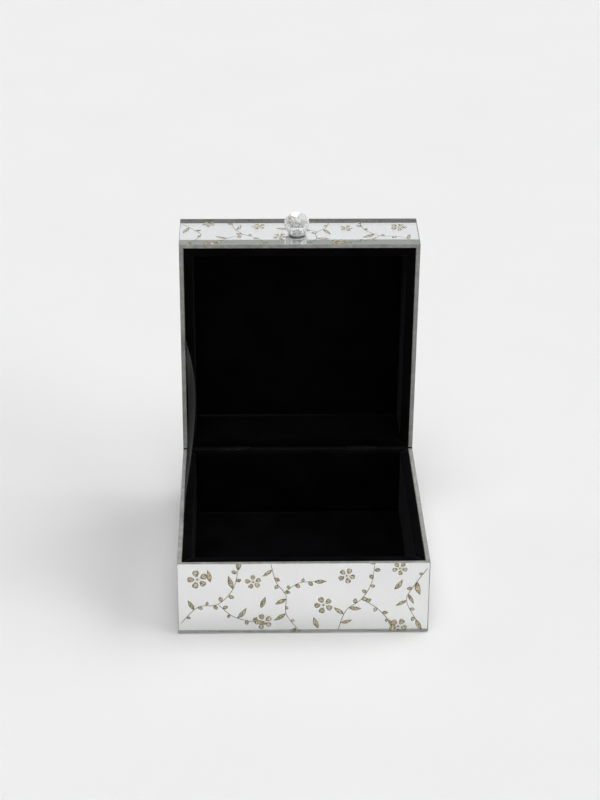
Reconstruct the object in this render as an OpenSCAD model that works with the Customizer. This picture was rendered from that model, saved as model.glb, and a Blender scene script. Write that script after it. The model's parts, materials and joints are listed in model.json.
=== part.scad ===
// Vanity trinket box: mirror-glass panels glued on velvet-lined boards, with a hinged lid,
// a ribbon stay and a faceted crystal knob. It is drawn with the lid open, resting on its stay.
//
// Frame: the origin is the middle of the footprint, on the surface that the box stands on.
// +X is to the right, +Y goes back to the hinges and +Z is up.
// Lid parts are drawn shut, with z = 0 on the hinge axis, and then turned open.

/* [Box] */
// Width across the side glasses
box_w = 150; // [120:1:200]
// Depth from the front glass to the cloth on the back
box_d = 147; // [115:1:200]
// Height of the base, from the table to its rim
base_h = 48.3; // [42:0.1:70]
// Height of the lid, from the hinge axis to its top glass
lid_h = 38.4; // [34:0.1:60]
// Angle at which the ribbon stay stops the lid
open_deg = 86.4; // [60:0.1:89]

/* [Walls] */
// Thickness of the mirror glass
glass_t = 2.7; // [2:0.1:4]
// Thickness of the wall boards
board_t = 5; // [4:0.5:7]
// Thickness of the base's bottom board
bottom_t = 3; // [2:0.5:5]
// Thickness of the lid's top board
top_t = 2; // [2:0.5:4]
// Thickness of the velvet and its backing
lining_t = 0.7; // [0.5:0.1:1.2]
// Thickness of the cloth on the back
cloth_t = 0.6; // [0.4:0.1:1]
// Thickness of the felt under the base
felt_t = 0.8; // [0.5:0.1:2]
// Thickness of the padded card on the floor
floor_card_t = 1.6; // [1:0.1:3]
// Height of the base glass above the table
glass_lift = 0.4; // [0.2:0.1:3]
// Gap between the two rims when the lid is shut
rim_gap = 0.2; // [0.1:0.05:0.4]

/* [Hinges] */
// Distance of each hinge from the middle
hinge_x = 42; // [30:1:45]
// Length of a hinge
hinge_l = 20; // [16:1:24]
// Height of a leaf, from the pin's axis to its edge
leaf_h = 9; // [8:0.5:12]
// Thickness of a leaf
leaf_t = 0.7; // [0.5:0.1:0.9]
// Radius of a knuckle
knuckle_r = 1.25; // [1.2:0.05:1.5]
// Radius of the hinge pin
pin_r = 0.6; // [0.5:0.05:0.7]
// Distance of the leaf screws from the middle of their hinge
screw_x = 6.5; // [5:0.5:7]
// Length of a leaf screw
screw_l = 4.4; // [3:0.1:5]

/* [Knob] */
// Distance of the knob from the middle of the lid, to the right
knob_x = -1.5; // [-5:0.1:5]
// Height of the knob above the hinge axis, with the lid shut
knob_z = 17.5; // [15:0.1:25]
// Largest radius of the crystal
crystal_r = 8.5; // [6:0.1:10]
// Height of the crystal
crystal_h = 11.6; // [10:0.1:16]
// Number of sides of the crystal
crystal_sides = 8; // [6:1:10]
// Radius of the metal collar
collar_r = 5.6; // [4.5:0.1:6]
// Thickness of the metal collar
collar_t = 0.8; // [0.5:0.1:2.5]
// Radius of the knob screw
knob_screw_r = 2; // [1.5:0.1:2.2]
// Depth of the knob screw in the crystal
knob_screw_bite = 3.6; // [3:0.1:5]

/* [Ribbon stay] */
// Width of the ribbon
ribbon_w = 10; // [6:1:12]
// Thickness of the ribbon
ribbon_t = 0.4; // [0.3:0.05:0.6]
// Distance of the ribbon's slot in the base from the hinge axis
base_reach = 92; // [70:1:100]
// Distance of the ribbon's slot in the lid from the hinge axis
lid_reach = 79; // [70:1:100]
// Depth of each end in its slot
ribbon_tuck = 7; // [5:0.5:10]
// How far the ribbon bows into the box
ribbon_bow = 4.6; // [3:0.1:12]
// How much the bow leans towards the lid, from 1 for an even bow
ribbon_lean = 1.45; // [1:0.05:1.8]

/* [Spine cloth] */
// Width of the spine cloth on each half of the back
spine_w = 6; // [4:0.5:8]
// Thickness of the spine cloth
spine_t = 0.3; // [0.2:0.05:0.3]

/* [Hidden] */
$fn = 48;
cut = 1; // how far a cutting shape runs past what it cuts
lap = 0.1; // how far parts of one solid run into each other
seg = 0.2; // gap between neighbouring knuckles
run_gap = 0.05; // radial clearance of the pin in the lid's knuckles
groove_gap = 0.2; // radial clearance of a knuckle in its groove
core_w = box_w - 2 * glass_t; // the boards' outer width
core_front = -box_d / 2 + glass_t; // the boards' front face
core_back = box_d / 2 - cloth_t; // the boards' back face
wall_t = board_t + lining_t;
base_floor = felt_t + bottom_t; // top of the bottom board
lid_ceiling = lid_h - glass_t - top_t; // underside of the lid's top board
hinge_y = box_d / 2 + leaf_t / 2; // the hinge axis runs through the middle of the leaves
knuckle_share = 0.34; // of the hinge, for each outer knuckle
knuckle_l = hinge_l * knuckle_share;
knuckle_root = knuckle_r + seg; // from the pin's axis to where a leaf starts between its own knuckles
leaf_screw_z = (knuckle_root + leaf_h) / 2;
screw_r = 0.7; // leaf screws
screw_head_r = 1.3;
washer_r = 4.4; // under the knob screw's head
washer_t = 0.6;
knob_head_r = 3.5;
recess_depth = 2.8; // recess for the knob screw's head in the front board
recess_y = core_front + board_t - recess_depth;
stay_x = -core_w / 2 + ribbon_t / 2; // the middle of the ribbon's thickness in its slots
slot_gap = 0.2; // round the ribbon, the knob screw and its washer
spine_gap = 0.4; // between the spine cloth and the hinges
hinge_places = [-hinge_x, hinge_x];
FRONT = 0;
RIGHT = 1;
BACK = 2;
LEFT = 3;

// ---- helpers ----

// Corners of the boards' outline, moved in by m
function core_corners(m) = [
    [-core_w / 2 + m, core_front + m],
    [core_w / 2 - m, core_front + m],
    [core_w / 2 - m, core_back - m],
    [-core_w / 2 + m, core_back - m]
];

// A wall of one side, mitred at its ends, from m1 to m2 inside the boards' outline
module strip(side, m1, m2, z1, z2) {
    outer = core_corners(m1);
    inner = core_corners(m2);
    next = (side + 1) % 4;
    translate([0, 0, z1])
        linear_extrude(z2 - z1)
            polygon([outer[side], outer[next], inner[next], inner[side]]);
}

module plate(m, z1, z2) {
    translate([0, 0, z1])
        linear_extrude(z2 - z1)
            polygon(core_corners(m));
}

// From lid coordinates (shut, z = 0 on the hinge axis) to the open lid
module opened() {
    translate([0, hinge_y, base_h])
        rotate([-open_deg, 0, 0])
            translate([0, -hinge_y, 0])
                children();
}

module x_rod(r, x1, x2) {
    translate([x1, 0, 0])
        rotate([0, 90, 0])
            cylinder(r = r, h = x2 - x1);
}

// Along -Y, from y1 forward to y2
module y_rod(r, y1, y2) {
    translate([0, y1, 0])
        rotate([90, 0, 0])
            cylinder(r = r, h = y1 - y2);
}

// Room for both hinges' knuckles in the back wall, on the hinge axis
module knuckle_grooves() {
    for (x = hinge_places)
        translate([x, hinge_y, 0])
            x_rod(knuckle_r + groove_gap, -hinge_l / 2 - seg, hinge_l / 2 + seg);
}

// up is 1 for the lid's leaves and -1 for the base's
module leaf_screw_places(up) {
    for (x = hinge_places, dx = [-screw_x, screw_x])
        translate([x + dx, box_d / 2 + leaf_t, up * leaf_screw_z])
            children();
}

module leaf_screw_holes(up) {
    leaf_screw_places(up) y_rod(screw_r, cut, -screw_l);
}

module leaf_screws(up) {
    leaf_screw_places(up) {
        y_rod(screw_r, -leaf_t / 2, -screw_l);
        rotate([90, 0, 0])
            cylinder(r1 = screw_head_r, r2 = screw_r, h = leaf_t);
    }
}

// Both hinges' leaves for one half: the base holds the outer knuckles, the lid the middle one
module leaves(up) {
    spans = up < 0
        ? [[-hinge_l / 2, -hinge_l / 2 + knuckle_l - seg], [hinge_l / 2 - knuckle_l + seg, hinge_l / 2]]
        : [[-hinge_l / 2 + knuckle_l, hinge_l / 2 - knuckle_l]];
    bore_r = up < 0 ? pin_r : pin_r + run_gap;
    difference() {
        for (x = hinge_places) {
            translate([x - hinge_l / 2, box_d / 2, up < 0 ? -leaf_h : knuckle_root])
                cube([hinge_l, leaf_t, leaf_h - knuckle_root]);
            for (s = spans) {
                translate([x, hinge_y, 0])
                    x_rod(knuckle_r, s[0], s[1]);
                translate([x + s[0], box_d / 2, up < 0 ? -knuckle_root - lap : 0])
                    cube([s[1] - s[0], leaf_t, knuckle_root + lap]);
            }
        }
        for (x = hinge_places)
            translate([x, hinge_y, 0])
                x_rod(bore_r, -hinge_l / 2 - cut, hinge_l / 2 + cut);
        leaf_screw_places(up) {
            y_rod(screw_r, cut, -leaf_t - cut);
            rotate([90, 0, 0])
                cylinder(r1 = screw_head_r, r2 = screw_r, h = leaf_t);
        }
    }
}

// The slot that holds one end of the ribbon, between the left board and its glass
module stay_slot(reach, z1, z2) {
    translate([-core_w / 2 - cut, hinge_y - reach - ribbon_w / 2 - slot_gap, z1])
        cube([cut + ribbon_t + slot_gap, ribbon_w + 2 * slot_gap, z2 - z1]);
}

// ---- base ----

module felt_underside() {
    color("#17171a") plate(1, 0, felt_t);
}

module bottom_board() {
    color("#1d1b1a") plate(0, felt_t, base_floor);
}

module base_board(side) {
    color("#8a6d4c") difference() {
        strip(side, 0, board_t, base_floor, base_h - lining_t);
        if (side == BACK) {
            translate([0, 0, base_h]) knuckle_grooves();
            translate([0, 0, base_h]) leaf_screw_holes(-1);
        }
        if (side == LEFT)
            stay_slot(base_reach, base_h - ribbon_tuck - slot_gap, base_h);
    }
}
module base_board_front() base_board(FRONT);
module base_board_right() base_board(RIGHT);
module base_board_back() base_board(BACK);
module base_board_left() base_board(LEFT);

module base_glass_front() {
    color("#dcdfdd") translate([-box_w / 2, -box_d / 2, glass_lift])
        cube([box_w, glass_t, base_h - glass_lift]);
}

module side_glass(x, z1, z2) {
    translate([x, core_front, z1])
        cube([glass_t, box_d / 2 - core_front, z2 - z1]);
}
module base_glass_right() {
    color("#dcdfdd") side_glass(core_w / 2, glass_lift, base_h);
}
module base_glass_left() {
    color("#dcdfdd") side_glass(-box_w / 2, glass_lift, base_h);
}

module back_cloth(z1, z2) {
    translate([-core_w / 2, core_back, z1])
        cube([core_w, cloth_t, z2 - z1]);
}
module base_back_cloth() {
    color("#0c0c0e") difference() {
        back_cloth(felt_t, base_h);
        translate([0, 0, base_h]) knuckle_grooves();
        translate([0, 0, base_h]) leaf_screw_holes(-1);
    }
}

// Velvet on one wall, with a flap over the board's edge
module base_lining(side) {
    color("#0a0a0c") difference() {
        union() {
            strip(side, board_t, wall_t, base_floor, base_h);
            strip(side, 0, board_t, base_h - lining_t, base_h);
        }
        if (side == BACK)
            translate([0, 0, base_h]) knuckle_grooves();
        if (side == LEFT)
            stay_slot(base_reach, base_h - lining_t - cut, base_h + cut);
    }
}
module base_lining_front() base_lining(FRONT);
module base_lining_right() base_lining(RIGHT);
module base_lining_back() base_lining(BACK);
module base_lining_left() base_lining(LEFT);

module floor_pad() {
    color("#0a0a0c") plate(wall_t, base_floor, base_floor + floor_card_t);
}

module hinge_leaves_base() {
    color("#3a3a3e") translate([0, 0, base_h]) leaves(-1);
}

module hinge_screws_base() {
    color("#55555a") translate([0, 0, base_h]) leaf_screws(-1);
}

module hinge_pins() {
    color("#55555a") for (x = hinge_places)
        translate([x, hinge_y, base_h])
            x_rod(pin_r, -hinge_l / 2 - seg, hinge_l / 2 + seg);
}

// ---- lid ----

module lid_board(side) {
    color("#8a6d4c") opened() difference() {
        strip(side, 0, board_t, rim_gap + lining_t, lid_ceiling);
        if (side == BACK) {
            knuckle_grooves();
            leaf_screw_holes(1);
        }
        if (side == LEFT)
            stay_slot(lid_reach, 0, ribbon_tuck + slot_gap);
        if (side == FRONT)
            translate([knob_x, 0, knob_z]) {
                y_rod(knob_screw_r, 0, -box_d);
                y_rod(washer_r + slot_gap, 0, recess_y);
            }
    }
}
module lid_board_front() lid_board(FRONT);
module lid_board_right() lid_board(RIGHT);
module lid_board_back() lid_board(BACK);
module lid_board_left() lid_board(LEFT);

module lid_top_board() {
    color("#8a6d4c") opened() plate(0, lid_ceiling, lid_h - glass_t);
}

module lid_glass_front() {
    color("#dcdfdd") opened() difference() {
        translate([-box_w / 2, -box_d / 2, rim_gap])
            cube([box_w, glass_t, lid_h - glass_t - rim_gap]);
        translate([knob_x, 0, knob_z])
            y_rod(knob_screw_r + slot_gap, 0, -box_d);
    }
}
module lid_glass_right() {
    color("#dcdfdd") opened() side_glass(core_w / 2, rim_gap, lid_h - glass_t);
}
module lid_glass_left() {
    color("#dcdfdd") opened() side_glass(-box_w / 2, rim_gap, lid_h - glass_t);
}
module lid_glass_top() {
    color("#dcdfdd") opened() translate([-box_w / 2, -box_d / 2, lid_h - glass_t])
        cube([box_w, box_d, glass_t]);
}

module lid_back_cloth() {
    color("#0c0c0e") opened() difference() {
        back_cloth(rim_gap, lid_h - glass_t);
        knuckle_grooves();
        leaf_screw_holes(1);
    }
}

module lid_lining(side) {
    color("#0a0a0c") opened() difference() {
        union() {
            strip(side, board_t, wall_t, rim_gap, lid_ceiling);
            strip(side, 0, board_t, rim_gap, rim_gap + lining_t);
        }
        if (side == BACK)
            knuckle_grooves();
        if (side == LEFT)
            stay_slot(lid_reach, -cut, rim_gap + lining_t + cut);
    }
}
module lid_lining_front() lid_lining(FRONT);
module lid_lining_right() lid_lining(RIGHT);
module lid_lining_back() lid_lining(BACK);
module lid_lining_left() lid_lining(LEFT);

module lid_ceiling_lining() {
    color("#0a0a0c") opened() plate(wall_t, lid_ceiling - lining_t, lid_ceiling);
}

module hinge_leaves_lid() {
    color("#3a3a3e") opened() leaves(1);
}

module hinge_screws_lid() {
    color("#55555a") opened() leaf_screws(1);
}

// ---- knob, drawn along -Y from the lid's front glass ----

// Heights and radii of the crystal's rings of corners, as shares of its height and its largest radius.
// Each ring is turned by half a side from the one before, so that triangular facets join them.
crystal_rings = [[0, 0.72], [0.5, 1], [0.8, 0.8], [1, 0.44]];

function crystal_points() = [
    for (i = [0 : len(crystal_rings) - 1], k = [0 : crystal_sides - 1])
        let (
            a = (k + (i % 2) / 2) * 360 / crystal_sides,
            r = crystal_rings[i][1] * crystal_r
        )
        [r * cos(a), r * sin(a), crystal_rings[i][0] * crystal_h]
];

function crystal_faces() =
    let (n = crystal_sides, last = len(crystal_rings) - 1)
    concat(
        [[for (k = [0 : n - 1]) k]],
        [[for (k = [n - 1 : -1 : 0]) last * n + k]],
        [
            for (i = [0 : last - 1], k = [0 : n - 1])
                let (
                    low = i * n,
                    high = low + n,
                    next = (k + 1) % n,
                    shift = i % 2
                )
                each (shift == 0
                    ? [[low + k, high + k, low + next], [high + k, high + next, low + next]]
                    : [[low + k, high + k, high + next], [low + k, high + next, low + next]])
        ]
    );

module knob_crystal() {
    color("#e8ecec") opened()
        translate([knob_x, -box_d / 2 - collar_t, knob_z])
            rotate([90, 0, 0])
                difference() {
                    polyhedron(crystal_points(), crystal_faces());
                    translate([0, 0, -cut])
                        cylinder(r = knob_screw_r, h = knob_screw_bite + cut);
                }
}

module knob_collar() {
    color("#c8cacc") opened()
        translate([knob_x, 0, knob_z])
            difference() {
                y_rod(collar_r, -box_d / 2, -box_d / 2 - collar_t);
                y_rod(knob_screw_r + run_gap, 0, -box_d);
            }
}

module knob_screw() {
    color("#9a9ca0") opened()
        translate([knob_x, 0, knob_z]) {
            y_rod(knob_head_r, core_front + board_t, recess_y + washer_t);
            y_rod(knob_screw_r, recess_y + washer_t + lap, -box_d / 2 - collar_t - knob_screw_bite);
        }
}

module knob_washer() {
    color("#b0b2b6") opened()
        translate([knob_x, 0, knob_z])
            difference() {
                y_rod(washer_r, recess_y + washer_t, recess_y);
                y_rod(knob_screw_r + run_gap, 0, -box_d);
            }
}

// ---- ribbon stay ----

// A bowed strip from the base's slot to the lid's slot; it folds when the lid shuts
stay_low = [stay_x, hinge_y - base_reach, base_h];
stay_high = [
    stay_x,
    hinge_y - lid_reach * cos(open_deg),
    base_h + lid_reach * sin(open_deg)
];
stay_steps = 16;

function stay_point(t) =
    stay_low + t * (stay_high - stay_low) + [ribbon_bow * sin(180 * pow(t, ribbon_lean)), 0, 0];

module stay_end(reach) {
    translate([stay_x - ribbon_t / 2, hinge_y - reach - ribbon_w / 2, 0])
        cube([ribbon_t, ribbon_w, ribbon_tuck]);
}

// The free part: a band whose width lies along the front-to-back direction of each slot
module stay_band() {
    half = ribbon_w / 2;
    points = [
        for (i = [0 : stay_steps])
            let (
                t = i / stay_steps,
                p = stay_point(t),
                turn = -open_deg * t,
                across = [0, cos(turn), sin(turn)],
                out = [ribbon_t / 2, 0, 0]
            )
            each [
                p - half * across - out,
                p - half * across + out,
                p + half * across + out,
                p + half * across - out
            ]
    ];
    faces = concat(
        [[0, 1, 2, 3]],
        [[for (k = [3 : -1 : 0]) 4 * stay_steps + k]],
        [
            for (i = [0 : stay_steps - 1], k = [0 : 3])
                let (a = 4 * i + k, b = 4 * i + (k + 1) % 4)
                each [[a, a + 4, b], [b, a + 4, b + 4]]
        ]
    );
    polyhedron(points, faces);
}

module ribbon_stay() {
    color("#141416") {
        translate([0, 0, base_h - ribbon_tuck]) stay_end(base_reach);
        stay_band();
        opened() stay_end(lid_reach);
    }
}

// ---- spine cloth: strips beside and between the hinges that close the gap at the back ----

spine_runs = [
    [-box_w / 2, -hinge_x - hinge_l / 2 - spine_gap],
    [-hinge_x + hinge_l / 2 + spine_gap, hinge_x - hinge_l / 2 - spine_gap],
    [hinge_x + hinge_l / 2 + spine_gap, box_w / 2]
];

// Faces of the spine cloth, measured back from the hinge axis
spine_inner = box_d / 2 - hinge_y;
spine_outer = spine_inner + spine_t;

// A point (y, z) off the hinge axis, given with the lid shut, where it is on the open lid
function turned(p) = [
    p[0] * cos(open_deg) + p[1] * sin(open_deg),
    p[1] * cos(open_deg) - p[0] * sin(open_deg)
];

// Section of the folded strip: up the back of the base, past the hinge axis and along the lid's back
spine_outline = [
    [spine_inner, -spine_w],
    [spine_outer, -spine_w],
    [spine_outer, 0],
    turned([spine_outer, 0]),
    turned([spine_outer, spine_w]),
    turned([spine_inner, spine_w]),
    turned([spine_inner, 0]),
    [spine_inner, 0]
];

module spine_cloth() {
    color("#0c0c0e")
        for (run = spine_runs)
            translate([run[0], hinge_y, base_h])
                rotate([90, 0, 90])
                    linear_extrude(run[1] - run[0])
                        polygon(spine_outline);
}

felt_underside();
bottom_board();
base_board_front();
base_board_right();
base_board_back();
base_board_left();
base_glass_front();
base_glass_right();
base_glass_left();
base_back_cloth();
base_lining_front();
base_lining_right();
base_lining_back();
base_lining_left();
floor_pad();
hinge_leaves_base();
hinge_screws_base();
hinge_pins();
lid_board_front();
lid_board_right();
lid_board_back();
lid_board_left();
lid_top_board();
lid_glass_front();
lid_glass_right();
lid_glass_left();
lid_glass_top();
lid_back_cloth();
lid_lining_front();
lid_lining_right();
lid_lining_back();
lid_lining_left();
lid_ceiling_lining();
hinge_leaves_lid();
hinge_screws_lid();
knob_crystal();
knob_collar();
knob_screw();
knob_washer();
ribbon_stay();
spine_cloth();
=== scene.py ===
"""Vanity trinket box: mirror glass with a printed vine, black velvet, a ribbon stay and a crystal knob.

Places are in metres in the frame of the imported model. A flat panel and the print on it are laid out in the
panel's own millimetres first. Lid pieces are built with the lid shut and then turned open with LID, the same
turn that the model has at rest.
"""

import json
import math
import random

import bmesh
import bpy
from mathutils import Matrix, Vector, noise

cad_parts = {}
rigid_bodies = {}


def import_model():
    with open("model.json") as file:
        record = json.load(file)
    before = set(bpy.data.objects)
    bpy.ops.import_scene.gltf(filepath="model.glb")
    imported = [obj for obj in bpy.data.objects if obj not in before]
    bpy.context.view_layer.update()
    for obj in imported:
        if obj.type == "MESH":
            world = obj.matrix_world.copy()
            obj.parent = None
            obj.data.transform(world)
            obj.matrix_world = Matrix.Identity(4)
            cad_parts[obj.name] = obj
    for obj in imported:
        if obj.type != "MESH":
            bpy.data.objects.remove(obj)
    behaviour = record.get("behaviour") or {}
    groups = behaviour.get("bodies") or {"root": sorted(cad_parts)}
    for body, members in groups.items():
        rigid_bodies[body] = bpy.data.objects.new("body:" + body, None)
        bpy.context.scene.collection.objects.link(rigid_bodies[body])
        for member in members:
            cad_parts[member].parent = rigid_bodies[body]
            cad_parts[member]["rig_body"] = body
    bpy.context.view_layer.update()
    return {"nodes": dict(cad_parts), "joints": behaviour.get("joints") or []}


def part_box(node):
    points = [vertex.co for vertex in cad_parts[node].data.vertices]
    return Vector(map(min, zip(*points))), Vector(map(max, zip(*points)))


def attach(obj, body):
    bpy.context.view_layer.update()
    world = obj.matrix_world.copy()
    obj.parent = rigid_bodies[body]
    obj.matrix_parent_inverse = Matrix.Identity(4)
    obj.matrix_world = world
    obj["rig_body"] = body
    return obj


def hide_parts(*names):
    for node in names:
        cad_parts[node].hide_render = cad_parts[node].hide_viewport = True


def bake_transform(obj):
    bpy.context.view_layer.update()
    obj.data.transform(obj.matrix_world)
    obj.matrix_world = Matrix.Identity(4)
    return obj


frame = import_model()

MM = 0.001
NODES = frame["nodes"]
SIDES = ("front", "right", "back", "left")

hinge = frame["joints"][0]
pivot = Vector(hinge["pos_m"])
open_angle = math.radians(-hinge["range_deg"][0])
LID = Matrix.Translation(pivot) @ Matrix.Rotation(-open_angle, 4, "X") @ Matrix.Translation(-pivot)
PLACES = {"base": Matrix.Identity(4), "lid": LID}


# ---------------------------------------------------------------- helpers

def shut_box(node):
    """Lowest and highest corner of a CAD node, in metres, with the lid shut."""
    back = PLACES[NODES[node]["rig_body"]].inverted()
    points = [back @ v.co for v in NODES[node].data.vertices]
    low = Vector(min(p[i] for p in points) for i in range(3))
    high = Vector(max(p[i] for p in points) for i in range(3))
    return low, high


def piece(name, bm, materials, body, smooth=False):
    """A mesh piece in shut coordinates, turned with its body and riding on it."""
    bmesh.ops.transform(bm, matrix=PLACES[body], verts=bm.verts)
    bmesh.ops.recalc_face_normals(bm, faces=bm.faces)
    mesh = bpy.data.meshes.new(name)
    bm.to_mesh(mesh)
    bm.free()
    for m in materials:
        mesh.materials.append(m)
    for p in mesh.polygons:
        p.use_smooth = smooth
    obj = bpy.data.objects.new(name, mesh)
    bpy.context.scene.collection.objects.link(obj)
    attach(obj, body)
    return obj


def loose_piece(name, bm, mat):
    """A smooth mesh piece, in place already, that rides on no body of its own."""
    mesh = bpy.data.meshes.new(name)
    bm.to_mesh(mesh)
    bm.free()
    mesh.materials.append(mat)
    for p in mesh.polygons:
        p.use_smooth = True
    obj = bpy.data.objects.new(name, mesh)
    bpy.context.scene.collection.objects.link(obj)
    return obj


def add_prism(bm, outline, low, high, index=0):
    """A closed prism on a list of (u, v) corners, between two heights."""
    bottom = [bm.verts.new((u, v, low)) for u, v in outline]
    top = [bm.verts.new((u, v, high)) for u, v in outline]
    faces = [bm.faces.new(list(reversed(bottom))), bm.faces.new(top)]
    for i in range(len(outline)):
        k = (i + 1) % len(outline)
        faces.append(bm.faces.new((bottom[i], bottom[k], top[k], top[i])))
    for f in faces:
        f.material_index = index


def add_box(bm, low, high):
    """A closed box between two corners."""
    outline = [(low[0], low[1]), (high[0], low[1]), (high[0], high[1]), (low[0], high[1])]
    add_prism(bm, outline, low[2], high[2])


def skin(bm, rings):
    """Faces from ring to ring, and one across each end."""
    for a, b in zip(rings, rings[1:]):
        for k in range(len(a)):
            m = (k + 1) % len(a)
            bm.faces.new((a[k], a[m], b[m], b[k]))
    bm.faces.new(rings[0])
    bm.faces.new(rings[-1][::-1])


def smooth_step(share):
    """A share from 0 to 1, eased at both ends."""
    return share * share * (3 - 2 * share)


def bevel_all(bm, width, segments=1):
    """Every edge cut back; more than one segment rounds it."""
    bmesh.ops.bevel(bm, geom=list(bm.edges), offset=width, segments=segments, affect="EDGES", profile=0.5)


# ---------------------------------------------------------------- materials

def material(name, **values):
    """A Principled material with its uniform values set on the shader's own sockets."""
    mat = bpy.data.materials.new(name)
    mat.use_nodes = True
    tree = mat.node_tree
    shader = tree.nodes["Principled BSDF"]
    for key, value in values.items():
        shader.inputs[key.replace("_", " ")].default_value = value
    return mat, tree, shader


def texture(tree, kind, scale, detail=None, stretch=None, **settings):
    """A texture node on object coordinates; stretch scales the three axes."""
    coordinates = tree.nodes.new("ShaderNodeTexCoord")
    node = tree.nodes.new(kind)
    node.inputs["Scale"].default_value = scale
    if detail is not None:
        node.inputs["Detail"].default_value = detail
    for key, value in settings.items():
        setattr(node, key, value)
    source = coordinates.outputs["Object"]
    if stretch:
        mapping = tree.nodes.new("ShaderNodeMapping")
        mapping.inputs["Scale"].default_value = stretch
        tree.links.new(source, mapping.inputs["Vector"])
        source = mapping.outputs["Vector"]
    tree.links.new(source, node.inputs["Vector"])
    return node


def ramp(tree, factor, stops):
    """A colour ramp; stops are (position, colour or grey)."""
    node = tree.nodes.new("ShaderNodeValToRGB")
    elements = node.color_ramp.elements
    while len(elements) < len(stops):
        elements.new(0.5)
    for element, (position, colour) in zip(elements, stops):
        element.position = position
        element.color = (colour, colour, colour, 1) if isinstance(colour, (int, float)) else (*colour, 1)
    tree.links.new(factor, node.inputs["Fac"])
    return node.outputs["Color"]


def bump(tree, shader, height, strength, distance):
    node = tree.nodes.new("ShaderNodeBump")
    node.inputs["Strength"].default_value = strength
    node.inputs["Distance"].default_value = distance
    tree.links.new(height, node.inputs["Height"])
    tree.links.new(node.outputs["Normal"], shader.inputs["Normal"])


def make_glass():
    """Clear glass with a faint haze, as wiping leaves."""
    mat, tree, shader = material(
        "clear_glass", Transmission_Weight=1.0, IOR=1.52, Base_Color=(0.985, 0.99, 0.987, 1)
    )
    haze = texture(tree, "ShaderNodeTexNoise", 60, 3)
    tree.links.new(ramp(tree, haze.outputs["Fac"], [(0.45, 0.0), (0.9, 0.004)]), shader.inputs["Roughness"])
    return mat


def make_glass_edge(name, dark, pale, clear):
    """A ground edge: the clear share of the light passes, and frosting or glue scatters the rest. Where no
    share is clear and the colours are dark, the dark is a painted reflection.
    """
    mat, tree, shader = material(name, Transmission_Weight=clear, IOR=1.52)
    grind = texture(tree, "ShaderNodeTexNoise", 260, 3)
    tree.links.new(ramp(tree, grind.outputs["Fac"], [(0.35, dark), (0.7, pale)]), shader.inputs["Base Color"])
    tree.links.new(ramp(tree, grind.outputs["Fac"], [(0.4, 0.08), (0.8, 0.2)]), shader.inputs["Roughness"])
    return mat


def make_silver():
    """The mirror's silvering, faintly clouded."""
    mat, tree, shader = material("silvering", Metallic=1.0, Roughness=0.0)
    cloud = texture(tree, "ShaderNodeTexNoise", 35, 4)
    tree.links.new(
        ramp(tree, cloud.outputs["Fac"], [(0.3, (0.83, 0.833, 0.83)), (0.7, (0.86, 0.863, 0.86))]),
        shader.inputs["Base Color"],
    )
    return mat


def make_glitter(name, colours, flake):
    """Metal flakes: each cell has its own colour and tilt."""
    mat, tree, shader = material(name, Metallic=0.4, Roughness=0.4)
    cells = texture(tree, "ShaderNodeTexVoronoi", 1 / flake)
    split = tree.nodes.new("ShaderNodeSeparateColor")
    tree.links.new(cells.outputs["Color"], split.inputs["Color"])
    count = len(colours)
    stops = [(i / count, c) for i, c in enumerate(colours)]
    colour_ramp = ramp(tree, split.outputs["Red"], stops)
    colour_ramp.node.color_ramp.interpolation = "CONSTANT"
    patches = texture(tree, "ShaderNodeTexNoise", 320, 3)
    shade = tree.nodes.new("ShaderNodeMixRGB")
    shade.blend_type = "MULTIPLY"
    shade.inputs["Fac"].default_value = 1.0
    tree.links.new(colour_ramp, shade.inputs["Color1"])
    tree.links.new(
        ramp(tree, patches.outputs["Fac"], [(0.35, (0.86, 0.83, 0.76)), (0.65, (1.0, 1.0, 0.98))]),
        shade.inputs["Color2"],
    )
    tree.links.new(shade.outputs["Color"], shader.inputs["Base Color"])
    geometry = tree.nodes.new("ShaderNodeNewGeometry")
    centred = tree.nodes.new("ShaderNodeVectorMath")
    centred.operation = "SUBTRACT"
    centred.inputs[1].default_value = (0.5, 0.5, 0.5)
    tree.links.new(cells.outputs["Color"], centred.inputs[0])
    tilt = tree.nodes.new("ShaderNodeVectorMath")
    tilt.operation = "MULTIPLY_ADD"
    tilt.inputs[1].default_value = (0.5, 0.5, 0.5)
    tree.links.new(centred.outputs[0], tilt.inputs[0])
    tree.links.new(geometry.outputs["Normal"], tilt.inputs[2])
    unit = tree.nodes.new("ShaderNodeVectorMath")
    unit.operation = "NORMALIZE"
    tree.links.new(tilt.outputs[0], unit.inputs[0])
    tree.links.new(unit.outputs[0], shader.inputs["Normal"])
    return mat


def make_velvet():
    """Black velvet: a very dark nap, cloudy in tone, with a fine pile and a slight sheen."""
    mat, tree, shader = material(
        "velvet", Roughness=1.0, Specular_IOR_Level=0.03, Sheen_Weight=0.022, Sheen_Roughness=0.35,
        Sheen_Tint=(0.75, 0.78, 0.85, 1),
    )
    nap = texture(tree, "ShaderNodeTexNoise", 45, 3)
    tree.links.new(
        ramp(tree, nap.outputs["Fac"], [(0.35, (0.0009, 0.0009, 0.0012)), (0.7, (0.0026, 0.0024, 0.0029))]),
        shader.inputs["Base Color"],
    )
    pile = texture(tree, "ShaderNodeTexNoise", 5200, 2)
    bump(tree, shader, pile.outputs["Fac"], 0.5, 0.0002)
    return mat


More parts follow.
